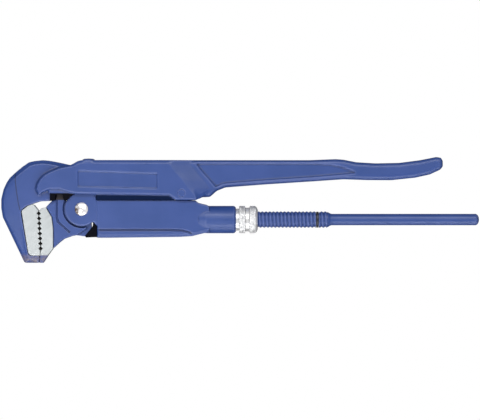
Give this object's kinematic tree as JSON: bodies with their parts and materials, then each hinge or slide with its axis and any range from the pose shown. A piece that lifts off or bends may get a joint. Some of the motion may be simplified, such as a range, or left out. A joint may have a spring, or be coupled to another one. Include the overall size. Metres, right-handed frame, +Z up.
{
  "type": "pipe wrench",
  "caption": "Corner pipe wrench: toothed hook on a channelled upper handle, rocking toothed jaw in a sliding frame, knurled nut on a threaded rod handle.",
  "frame": {"origin": "under the middle of the outline, on the surface that the wrench lies on", "axes": "+X from the hook to the rod's end, along the rod; +Y from the rod towards the upper handle; +Z up, across the tool's flat sides"},
  "size_m": [0.42, 0.093, 0.028],
  "materials": {
    "blue_paint": "satin blue paint over forged steel",
    "ground_steel": "ground bright steel",
    "nut_chrome": "bright chrome plate, knurled",
    "spring_steel": "oiled dark spring steel"
  },
  "bodies": {
    "arm": {"upper_arm": "blue_paint", "hook_insert": "ground_steel", "leaf_spring": "spring_steel", "spring_rivet": "blue_paint", "anchor_pin": "ground_steel"},
    "rod": {"handle_rod": "blue_paint", "stop_ring": "spring_steel"},
    "frame": {"lower_frame": "blue_paint", "jaw_pin": "ground_steel", "nut_retaining_ring": "spring_steel"},
    "jaw": {"moving_jaw": "blue_paint", "jaw_insert": "ground_steel"},
    "nut": {"adjusting_nut": "nut_chrome"}
  },
  "joints": [
    {"name": "handle_rock", "type": "hinge", "parent": "arm", "child": "rod", "pos_m": [-0.0515, 0.0147, 0.014], "axis": [0, 0, -1], "range_deg": [0, 2.5]},
    {"name": "frame_slide", "type": "slide", "parent": "rod", "child": "frame", "axis": [1, 0, 0], "range_m": [0, 0.051]},
    {"name": "jaw_rock", "type": "hinge", "parent": "frame", "child": "jaw", "pos_m": [-0.1392, 0.0007, 0.014], "axis": [0, 0, 1], "range_deg": [0, 13]},
    {"name": "nut_spin", "type": "hinge", "parent": "frame", "child": "nut", "pos_m": [0.0068, -0.0085, 0.014], "axis": [1, 0, 0], "range_deg": [0, 5650]}
  ],
  "couplings": [
    {"joint": "jaw_rock", "follows": "handle_rock", "ratio": 5.2},
    {"joint": "nut_spin", "follows": "frame_slide", "rad_per_m": 1933.3}
  ]
}
